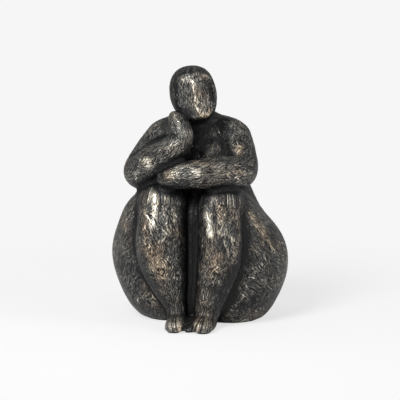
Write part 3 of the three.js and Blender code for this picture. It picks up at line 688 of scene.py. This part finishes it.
def stroke(kind):
    """One stroke drawn at random: length, half width, depth, turn and bend."""
    _, lengths, widths, depths, stray = kind
    length, width = rng.uniform(*lengths), rng.uniform(*widths)
    depth = rng.uniform(*depths) * (1 if rng.random() < RAISED else -1)
    angle = math.radians(rng.normal(0, stray))
    return length, width, depth, angle, rng.normal(0, BEND)


def stroked(p, normals, way, owner):
    """How far the tools' strokes stand out of the skin or go into it, in millimetres."""
    relief = np.zeros(len(p))
    spot = np.floor(p / CELL).astype(int) + CELLS_BELOW
    key = spot[:, 0] + ROW * spot[:, 1] + LAYER * spot[:, 2]
    sorting = np.argsort(key, kind="stable")
    keys, starts = np.unique(key[sorting], return_index=True)
    groups = dict(zip(keys.tolist(), np.split(sorting, starts[1:])))
    steps = (-1, 0, 1)
    beside = [x + ROW * y + LAYER * z for x in steps for y in steps for z in steps]
    area = 0.01 * (SKIN_STEP / 2) ** 2  # square centimetres to a point
    for k, members in groups.items():
        near = np.concatenate([groups[k + shift] for shift in beside if k + shift in groups])
        at, facing, made = p[near], normals[near], relief[near]
        kinds = owner[members]
        for index in np.unique(kinds):
            kind = STROKES[CASTINGS[index]]
            mine = members[kinds == index]
            count = rng.poisson(kind[0] * area * len(mine))
            for centre in mine[rng.integers(0, len(mine), count)]:
                length, width, depth, angle, bend = stroke(kind)
                n, ahead = normals[centre], way[centre]
                across = np.cross(n, ahead)
                t = math.cos(angle) * ahead + math.sin(angle) * across
                side = math.cos(angle) * across - math.sin(angle) * ahead
                away = at - p[centre]
                u, v, h = away @ t, away @ side, away @ n
                v = v - bend * u * u
                hit = (np.abs(u) < length / 2) & (np.abs(v) < 2 * width)
                hit &= (np.abs(h) < HOLD) & (facing @ n > FACING_LEAST)
                if not hit.any():
                    continue
                u, v = np.abs(u[hit]) * 2 / length, np.abs(v[hit]) / width
                lip = LIP * np.exp(-((v - LIP_PLACE) / LIP_WIDTH) ** 2)
                shape = np.clip(1 - v * v, 0, 1) - lip
                cover = np.clip((1 - u) * TIP, 0, 1) * np.clip((2 - v) * SIDE, 0, 1)
                made[hit] = made[hit] * (1 - cover) + cover * depth * shape
        relief[near] = made
    return relief


# ---------------------------------------------------------------- the figure's skin
whole = merged_copy(CASTINGS + ["base_plug"])
points, faces = outer_skin(whole)
bpy.data.objects.remove(whole, do_unlink=True)
edges = edges_of(faces)
points = relaxed(figure, points, faces, edges)

middles = points[faces].mean(1)
owner = np.array([FORMS[name](middles) for name in CASTINGS]).argmin(0)
normals = normals_of(points, faces)

# the way that the strokes run, and places measured round the form and along it
way = np.zeros_like(points)
grain = np.zeros_like(points)
vertex_owner = np.array([FORMS[name](points) for name in CASTINGS]).argmin(0)
for index, name in enumerate(CASTINGS):
    mine = np.flatnonzero(vertex_owner == index)
    nearest = np.full(len(mine), ENDLESS)
    for line in WAYS[name]:
        away, _, run, runs, foot = along_line(smooth_line(line), points[mine])
        near = away < nearest
        nearest[near] = away[near]
        way[mine[near]] = runs[near]
        off = points[mine[near]] - foot[near]
        beside = unit(np.cross(runs[near], UPRIGHT))
        ahead = np.cross(beside, runs[near])
        turn = np.arctan2((off * beside).sum(1), (off * ahead).sum(1))
        apart = np.full(len(off), GRAIN_APART * index)
        grain[mine[near]] = np.stack([turn * GIRTHS[index], run[near], apart], 1)
on_head = np.flatnonzero(vertex_owner == CASTINGS.index("head_casting"))
is_hair = HAIR_FORM(points[on_head]) < FACE_FORM(points[on_head])
hair_skin, face_skin = on_head[is_hair], on_head[~is_hair]
way[hair_skin] = points[hair_skin] - CROWN
way[face_skin] = FACE_UP
way = unit(way - (way * normals).sum(1)[:, None] * normals)

# how clear the room beside the surface is, which the finish paints as shade in creases, hollows and
# under and between parts
painted_shade_openness = np.zeros(len(points))
for distance, weight in PAINTED_SHADE_REACH:
    clear = figure(points + distance * normals, floor=False)
    painted_shade_openness += weight * np.clip(clear / distance, 0, 1)

# how far the surface stands out of its smoothed form
soft = points.copy()
for _ in range(SOFTENING):
    soft = means(soft, edges)
swell = ((points - soft) * normals).sum(1)

# what tools and hands have done along the lines, and painted highlights and painted shade laid
# along them
lift, rub_and_highlight, shade_and_sunk, warm = (np.zeros(len(points)) for _ in range(4))
for name, (width, height) in WORKED.items():
    lift += height * touched(points, MARKED[name], width)
for values, lines in ((rub_and_highlight, RUBBED_AND_HIGHLIT), (shade_and_sunk, SHADE_AND_SUNK), (warm, WARM)):
    for name, (width, strength) in lines.items():
        np.maximum(values, strength * touched(points, MARKED[name], width), out=values)
# the face gets less painted shade
painted_shade_openness[face_skin] = np.maximum(painted_shade_openness[face_skin], FACE_PAINTED_SHADE_OPEN)
# the face gets a painted highlight over its rubbing
rub_and_highlight[face_skin] = np.maximum(rub_and_highlight[face_skin], FACE_RUB_AND_HIGHLIGHT)
rub_and_highlight[hair_skin] -= HAIR_DULL
swell[hair_skin] *= HAIR_SWELL
# the shade lines add painted shade, and take off rubbing and painted highlight
painted_shade_openness *= 1 - SUNK_SHADE * shade_and_sunk
rub_and_highlight -= SUNK_DULL * shade_and_sunk
points = points + lift[:, None] * normals

# the same skin with its squares halved, and the strokes in it
coarse = mesh_of("coarse", points, faces)
vectors = {"way": way, "grain": grain}
numbers = {"painted_shade_open": painted_shade_openness, "swell": swell, "rub_and_highlight": rub_and_highlight, "warm": warm}
for name, made in {**vectors, **numbers}.items():
    set_values(coarse.data, name, made)
applied(coarse, "SUBSURF", "finer", levels=1, render_levels=1)
fine = places(coarse.data)
fine_faces = squares(coarse.data)
values = {name: get_values(coarse.data, name, 3) for name in vectors}
values.update({name: get_values(coarse.data, name, 1) for name in numbers})
bpy.data.objects.remove(coarse, do_unlink=True)
fine_normals = normals_of(fine, fine_faces)
fine_owner = np.zeros(len(fine), int)
fine_owner[fine_faces] = np.repeat(owner, 4)[:, None]
fine_way = unit(values["way"] - (values["way"] * fine_normals).sum(1)[:, None] * fine_normals)
relief = stroked(fine, fine_normals, fine_way, fine_owner)
relief *= np.clip((fine[:, 2] - BASE - UNWORKED) / WORKED_OVER, 0, 1)
fine = fine + relief[:, None] * fine_normals
low, high = (np.array(corner) / MM for corner in cad_box)
fine = np.clip(fine, low + [0, 0, BASE], high)
shown_normals = normals_of(fine, fine_faces)

# where in the fine squares each coarse corner is, and the middle of the side after it
count = len(points)
quads = fine_faces.reshape(-1, 4, 4)
first = np.take_along_axis(quads, np.where(quads < count, 0, 1).argmin(2)[:, :, None], 2)[:, :, 0]
corner_at = (quads == first[:, :, None]).argmax(2)
after = np.take_along_axis(quads, ((corner_at + 1) % 4)[:, :, None], 2)[:, :, 0]


def edge_middles(mine):
    """The fine point in the middle of each side of these coarse squares."""
    made = np.full((len(mine), 4), -1)
    for side in range(4):
        for sub in range(4):
            match = first[mine, sub] == faces[mine, side]
            made[match, side] = after[mine[match], sub]
    return made.ravel()


def cast_piece(name, refined):
    """The closed piece of one casting: its skin, an inner skin and the rim between them."""
    mine = np.flatnonzero(owner == CASTINGS.index(name))
    squares_in = faces[mine]
    squares_out = quads[mine].reshape(-1, 4) if refined else squares_in
    inner, outer = np.unique(squares_in), np.unique(squares_out)
    inner_points = np.clip(points[inner] - WALL * normals[inner], low + [0, 0, INNER_BASE], high)
    outer_number, inner_number = np.zeros(len(fine), int), np.zeros(len(fine), int)
    outer_number[outer] = np.arange(len(outer))
    inner_number[inner] = np.arange(len(inner)) + len(outer)
    starts, ends = squares_in.ravel(), np.roll(squares_in, -1, axis=1).ravel()
    border = ~np.isin(starts * count + ends, ends * count + starts)
    rims = []
    for a, b, middle in zip(starts[border], ends[border], edge_middles(mine)[border]):
        outside = outer_number[[b, middle, a] if refined else [b, a]]
        rims.append([*outside.tolist(), inner_number[a], inner_number[b]])
    skins = [*outer_number[squares_out].tolist(), *inner_number[squares_in[:, ::-1]].tolist()]
    piece = mesh_of(SKINS[name], np.vstack([fine[outer], inner_points]), skins + rims)
    mesh = piece.data
    for key, made in {"relief": relief, **{key: values[key] for key in numbers}}.items():
        set_values(mesh, key, np.concatenate([made[outer], np.zeros(len(inner))]))
    set_values(mesh, "grain", np.vstack([values["grain"][outer], points[inner]]))
    mesh.shade_smooth()
    pointing = np.vstack([shown_normals[outer], -normals[inner]])
    mesh.normals_split_custom_set_from_vertices(pointing.tolist())
    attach(piece, "root")
    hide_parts(name)
    return piece


# the hips' squares stay whole, which keeps that piece under 200,000 triangles
pieces = {name: cast_piece(name, name != "hips_shell") for name in CASTINGS}

# ---------------------------------------------------------------- finishes
STRETCH, FINENESS = 7, 0.9  # how much longer than wide the tool marks are, and how fine
PATCHES, PATCH_EDGE = 0.11, 0.03  # size of the patches that marks run one way in, and their blur
MARK_WAYS = ((0.1, 0), (0.7, 0.46), (-0.6, 0.56))  # turn of the marks, and its patches' level
THIN_LINE = 0.07
CLOUD, PATCH, CALM, SPECK = 75, 45, 55, 850  # scales of the finish's noises
# How much each of these adds to the pale dry-brushing and to the painted shade, and what is taken
# off again
ADDS = {
    "lines": (0.35, -0.12), "marks": (3.6, -1.8), "calm": (2.4, -0.2), "speck": (0.35, -0.175),
    "swell": (0.3, 0.02), "painted_shade_open": (0.45, -0.38), "brown": (3.2, -1.45),
}
# what the tool relief, and the rubbing with its painted highlights, add to the brushing
RELIEF_ADDS, RUB_AND_HIGHLIGHT_ADDS = 1.6, 0.62
# Colours from bare dark paint and the deepest painted shade to the palest brushing and painted
# highlight, silvery and brown
BRUSH_AND_LIGHT_LEVELS = (0.0, 0.2, 0.42, 0.62, 0.8, 1.0)
SILVER = ((0.006, 0.0064, 0.0066), (0.034, 0.0345, 0.035), (0.106, 0.104, 0.096),
          (0.228, 0.212, 0.178), (0.43, 0.39, 0.315), (0.86, 0.82, 0.74))
GOLD = ((0.008, 0.007, 0.0062), (0.039, 0.033, 0.029), (0.122, 0.096, 0.075),
        (0.265, 0.2, 0.14), (0.48, 0.375, 0.255), (0.86, 0.76, 0.6))
METAL, ROUGH = (0.1, 0.8, 0.35, 0.8), (0.3, 0.7, 0.34, 0.5)  # from these levels, to these
SHINE, MARK_DEPTH = 0.25, 0.0004
TONES = (0.35, 0.65)


class Nodes:
    """A node tree, with short ways to add to it."""

    def __init__(self, tree):
        self.tree, self.link = tree, tree.links.new

    def add(self, kind, name="", **settings):
        """A node. Settings that start with in_ are for its sockets."""
        made = self.tree.nodes.new(kind)
        made.name = made.label = name
        for key, value in settings.items():
            if key.startswith("in_"):
                made.inputs[key[3:].replace("_", " ")].default_value = value
            else:
                setattr(made, key, value)
        return made

    def math(self, operation, *values):
        """A Math node fed by sockets or numbers."""
        made = self.add("ShaderNodeMath", operation=operation)
        for socket, value in zip(made.inputs, values):
            if isinstance(value, (int, float)):
                socket.default_value = value
            else:
                self.link(value, socket)
        return made.outputs[0]

    def noise(self, name, place, scale, detail, **settings):
        """A noise over a place."""
        made = self.add("ShaderNodeTexNoise", name, in_Scale=scale, in_Detail=detail, **settings)
        self.link(place, made.inputs["Vector"])
        return made

    def ranged(self, name, value, limits, kind="LINEAR"):
        """A value taken from the first two limits to the others, or to 0 and 1."""
        made = self.add("ShaderNodeMapRange", name, interpolation_type=kind)
        self.link(value, made.inputs["Value"])
        for key, limit in zip(("From Min", "From Max", "To Min", "To Max"), limits):
            made.inputs[key].default_value = limit
        return made.outputs[0]

    def ramp(self, name, value, levels, colours):
        """Colours at the levels of a value."""
        made = self.add("ShaderNodeValToRGB", name)
        self.link(value, made.inputs["Fac"])
        elements = made.color_ramp.elements
        while len(elements) < len(levels):
            elements.new(0.5)
        for element, level, colour in zip(elements, levels, colours):
            element.position = level
            element.color = (*colour, 1)
        return made.outputs["Color"]

    def bump(self, height, depth, shader):
        """A height in the finish of a shader."""
        made = self.add("ShaderNodeBump", "bump", in_Strength=1.0, in_Distance=depth)
        self.link(height, made.inputs["Height"])
        self.link(made.outputs[0], shader.inputs["Normal"])


def tool_marks():
    """Wandering tool marks in patches that run three ways: a height, and thin lines, 0 to 1."""
    group = bpy.data.node_groups.new("tool_marks", "ShaderNodeTree")
    for name, way, kind in (("Place", "INPUT", "Vector"), ("Fineness", "INPUT", "Float"),
                            ("Height", "OUTPUT", "Float"), ("Lines", "OUTPUT", "Float")):
        group.interface.new_socket(name, in_out=way, socket_type="NodeSocket" + kind)
    tree = Nodes(group)
    start, end = tree.add("NodeGroupInput"), tree.add("NodeGroupOutput")
    place = start.outputs["Place"]
    patches = tree.noise("patches", place, PATCHES, 1).outputs[0]
    height = None
    for turn, level in MARK_WAYS:
        along = tree.add("ShaderNodeMapping", vector_type="TEXTURE", in_Rotation=(0, 0, turn),
                         in_Scale=(1, STRETCH, 1))
        tree.link(place, along.inputs["Vector"])
        noise = tree.noise("", along.outputs[0], 1, 2, in_Roughness=0.6, in_Distortion=0.7)
        tree.link(start.outputs["Fineness"], noise.inputs["Scale"])
        if height is None:
            height = noise.outputs[0]
            continue
        limits = (level - PATCH_EDGE, level + PATCH_EDGE)
        mix = tree.add("ShaderNodeMix", data_type="FLOAT")
        tree.link(tree.ranged("edge", patches, limits, "SMOOTHSTEP"), mix.inputs[0])
        tree.link(height, mix.inputs[2])
        tree.link(noise.outputs[0], mix.inputs[3])
        height = mix.outputs[0]
    away = tree.math("ABSOLUTE", tree.math("SUBTRACT", height, 0.5))
    tree.link(height, end.inputs["Height"])
    tree.link(tree.ranged("thin", away, (THIN_LINE, 0), "SMOOTHSTEP"), end.inputs["Lines"])
    return group


MARKS = tool_marks()


def finish_of(name):
    """A new material, its nodes, its shader, and where it is on the object."""
    material = bpy.data.materials.new(name)
    material.use_nodes = True
    tree = Nodes(material.node_tree)
    place = tree.add("ShaderNodeTexCoord").outputs["Object"]
    return material, tree, tree.tree.nodes["Principled BSDF"], place


def bronze(name, lines, clouds):
    """Near-black bronze paint with silver and gold dry-brushing where it stands out or is rubbed,
    and painted highlights and painted shade in its colour.
    """
    material, tree, shader, place = finish_of(name)
    math_of = tree.math
    value = {}
    for key in ("relief", "painted_shade_open", "swell", "rub_and_highlight", "warm"):
        value[key] = tree.add("ShaderNodeAttribute", key, attribute_name=key).outputs["Fac"]
    grain = tree.add("ShaderNodeAttribute", "grain", attribute_name="grain")
    marks = tree.add("ShaderNodeGroup", "marks", node_tree=MARKS, in_Fineness=FINENESS)
    tree.link(grain.outputs["Vector"], marks.inputs["Place"])

    def noise(label, scale, detail=3):
        return tree.noise(label, place, scale, detail, in_Roughness=0.6).outputs[0]

    cloud = noise("cloud", CLOUD)
    # tool marks, calmer in some places
    share, less = ADDS["marks"]
    thin = math_of("MULTIPLY_ADD", marks.outputs["Lines"], *ADDS["lines"])
    both = math_of("MULTIPLY_ADD", marks.outputs["Height"], share, math_of("ADD", thin, less))
    share, less = ADDS["calm"]
    calm = math_of("MULTIPLY_ADD", noise("calm", CALM, 1), share * lines, less * lines)
    strokes = math_of("MULTIPLY", both, calm)
    # how much of the pale dry-brushing a place has taken, with its painted highlights and painted
    # shade
    specks = math_of("MULTIPLY_ADD", noise("speck", SPECK, 2), *ADDS["speck"])
    worked = math_of("MULTIPLY_ADD", value["relief"], RELIEF_ADDS, strokes)
    bulge = math_of("MULTIPLY_ADD", value["swell"], *ADDS["swell"])
    level = math_of("MULTIPLY_ADD", value["rub_and_highlight"], RUB_AND_HIGHLIGHT_ADDS, bulge)
    level = math_of("MULTIPLY_ADD", cloud, clouds, math_of("ADD", level, -0.5 * clouds))
    level = math_of("ADD", level, math_of("ADD", worked, specks))
    # the openness darkens hollows and creases as painted shade
    brush_and_light = math_of("ADD", level, math_of("MULTIPLY_ADD", value["painted_shade_open"], *ADDS["painted_shade_open"]))
    brown = math_of("MULTIPLY_ADD", noise("patch", PATCH), *ADDS["brown"])
    tint = math_of("ADD", brown, value["warm"])
    tint.node.use_clamp = True
    colour = tree.add("ShaderNodeMix", "tint", data_type="RGBA")
    tree.link(tint, colour.inputs[0])
    tree.link(tree.ramp("silver", brush_and_light, BRUSH_AND_LIGHT_LEVELS, SILVER), colour.inputs[6])
    tree.link(tree.ramp("gold", brush_and_light, BRUSH_AND_LIGHT_LEVELS, GOLD), colour.inputs[7])
    tree.link(colour.outputs[2], shader.inputs["Base Color"])
    tree.link(tree.ranged("metal", brush_and_light, METAL), shader.inputs["Metallic"])
    tree.link(tree.ranged("rough", cloud, ROUGH), shader.inputs["Roughness"])
    shader.inputs["Specular IOR Level"].default_value = SHINE
    tree.bump(marks.outputs["Height"], MARK_DEPTH, shader)
    return material


def plain(name, dark, light, scale, roughness, metallic=0.0, depth=0.0001):
    """A finish of two tones in fine grains."""
    material, tree, shader, place = finish_of(name)
    noise = tree.noise("grain", place, scale, 4, in_Roughness=0.65).outputs[0]
    tones = tree.ramp("tones", noise, TONES, (dark, light))
    tree.link(tones, shader.inputs["Base Color"])
    shader.inputs["Metallic"].default_value = metallic
    shader.inputs["Roughness"].default_value = roughness
    tree.bump(noise, depth, shader)
    return material


def dress(piece, material):
    """Gives a piece one finish all over."""
    piece.data.materials.clear()
    piece.data.materials.append(material)


# Strength of the tool marks and of the clouds in each bronze
BRONZE = bronze("bronze_patina", 0.9, 0.5)
BRONZES = {
    "hips_shell": bronze("bronze_patina_hips", 1.1, 0.35),
    "head_casting": bronze("bronze_patina_head", 0.62, 0.2),
}
for name, piece in pieces.items():
    dress(piece, BRONZES.get(name, BRONZE))
FELT = plain("felt", (0.006, 0.006, 0.007), (0.03, 0.03, 0.032), 2500, 0.95, depth=0.0003)
STEEL = plain("dowel_steel", (0.42, 0.42, 0.42), (0.6, 0.6, 0.6), 1800, 0.35, 1.0, 0.00003)
RESIN = plain("plug_resin", (0.02, 0.018, 0.016), (0.05, 0.046, 0.04), 600, 0.6)
for name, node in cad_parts.items():
    if name.endswith("_felt"):
        dress(node, FELT)
    elif name.endswith("_dowel"):
        dress(node, STEEL)
    elif name == "base_plug":
        dress(node, RESIN)

# ---------------------------------------------------------------- camera, light and floor
SENSOR, FOCAL, PHOTO = 36, 1266, 400  # the focal length is in the photograph's pixels
CAMERA_AT, LAMPS_AT = (0, 0, 0.112), (0, 0, 0.12)  # what camera and lamps face
ROOM_LIGHT, BACKDROP = 0.45, 0.9216
FLOOR_SIZE, FLOOR_SIDES, FLOOR_LEVEL = 3, 96, -0.0002
FLOOR_TONE, FLOOR_ROUGH = 0.85, 0.9
FLOOR_FADE = (0.12, 0.5, 0.72, 1.0)  # from near to far, and how much of the backdrop shows there


def aim(thing, centre, azimuth, elevation, distance):
    """Puts a camera or a lamp round a place, facing it."""
    a, e = math.radians(azimuth), math.radians(elevation)
    back = Vector((math.sin(a) * math.cos(e), -math.cos(a) * math.cos(e), math.sin(e)))
    thing.location = Vector(centre) + back * distance
    thing.rotation_mode = "QUATERNION"
    thing.rotation_quaternion = (-back).to_track_quat("-Z", "Y")
    bpy.context.collection.objects.link(thing)


def photo_camera(azimuth, elevation, distance):
    """The photograph's camera."""
    data = bpy.data.cameras.new("camera")
    data.sensor_width = SENSOR
    data.lens = SENSOR * FOCAL / PHOTO
    camera = bpy.data.objects.new("camera", data)
    aim(camera, CAMERA_AT, azimuth, elevation, distance)
    bpy.context.scene.camera = camera


def soft_lamp(name, azimuth, elevation, distance, size, power):
    """An oblong lamp that faces the figure's middle."""
    data = bpy.data.lights.new(name, "AREA")
    data.shape, data.size, data.size_y, data.energy = "RECTANGLE", *size, power
    aim(bpy.data.objects.new(name, data), LAMPS_AT, azimuth, elevation, distance)


def show_backdrop(tree, kind, lit, seen, output):
    """Shows the pale backdrop in place of a lit shader, as far as seen says."""
    pale = tree.add(kind, "seen", in_Color=(BACKDROP, BACKDROP, BACKDROP, 1), in_Strength=1)
    mix = tree.add("ShaderNodeMixShader")
    for source, target in zip((seen, lit.outputs[0], pale.outputs[0]), mix.inputs):
        tree.link(source, target)
    tree.link(mix.outputs[0], tree.tree.nodes[output].inputs["Surface"])


def backdrop_world():
    """A pale room that lights the figure softly and shows as the backdrop."""
    world = bpy.data.worlds.new("room")
    bpy.context.scene.world = world
    world.use_nodes = True
    tree = Nodes(world.node_tree)
    lit = world.node_tree.nodes["Background"]
    lit.inputs["Color"].default_value = (1, 1, 1, 1)
    lit.inputs["Strength"].default_value = ROOM_LIGHT
    rays = tree.add("ShaderNodeLightPath").outputs
    seen = tree.math("MAXIMUM", rays["Is Camera Ray"], rays["Is Transmission Ray"])
    show_backdrop(tree, "ShaderNodeBackground", lit, seen, "World Output")


def pale_floor():
    """A pale floor that takes a faint shadow and fades into the backdrop."""
    bpy.ops.object.select_all(action="DESELECT")
    bpy.ops.mesh.primitive_circle_add(
        vertices=FLOOR_SIDES, radius=FLOOR_SIZE, fill_type="NGON", location=(0, 0, FLOOR_LEVEL))
    floor = bpy.context.active_object
    floor.name = "floor"
    bpy.ops.object.transform_apply(location=True, rotation=True, scale=True)
    material, tree, shader, place = finish_of("pale_floor")
    shader.inputs["Base Color"].default_value = (FLOOR_TONE, FLOOR_TONE, FLOOR_TONE, 1)
    shader.inputs["Roughness"].default_value = FLOOR_ROUGH
    length = tree.add("ShaderNodeVectorMath", operation="LENGTH")
    tree.link(place, length.inputs[0])
    fade = tree.ranged("fade", length.outputs["Value"], FLOOR_FADE, "SMOOTHSTEP")
    rays = tree.add("ShaderNodeLightPath").outputs
    seen = tree.math("MULTIPLY", rays["Is Camera Ray"], fade)
    show_backdrop(tree, "ShaderNodeEmission", shader, seen, "Material Output")
    floor.data.materials.append(material)


photo_camera(10, 8, 1.2)
soft_lamp("key", -24, 36, 1.3, (0.45, 0.8), 19)
soft_lamp("fill", 75, 20, 1.4, (0.4, 0.9), 7)
backdrop_world()
pale_floor()
bpy.context.scene.view_settings.view_transform = "Standard"
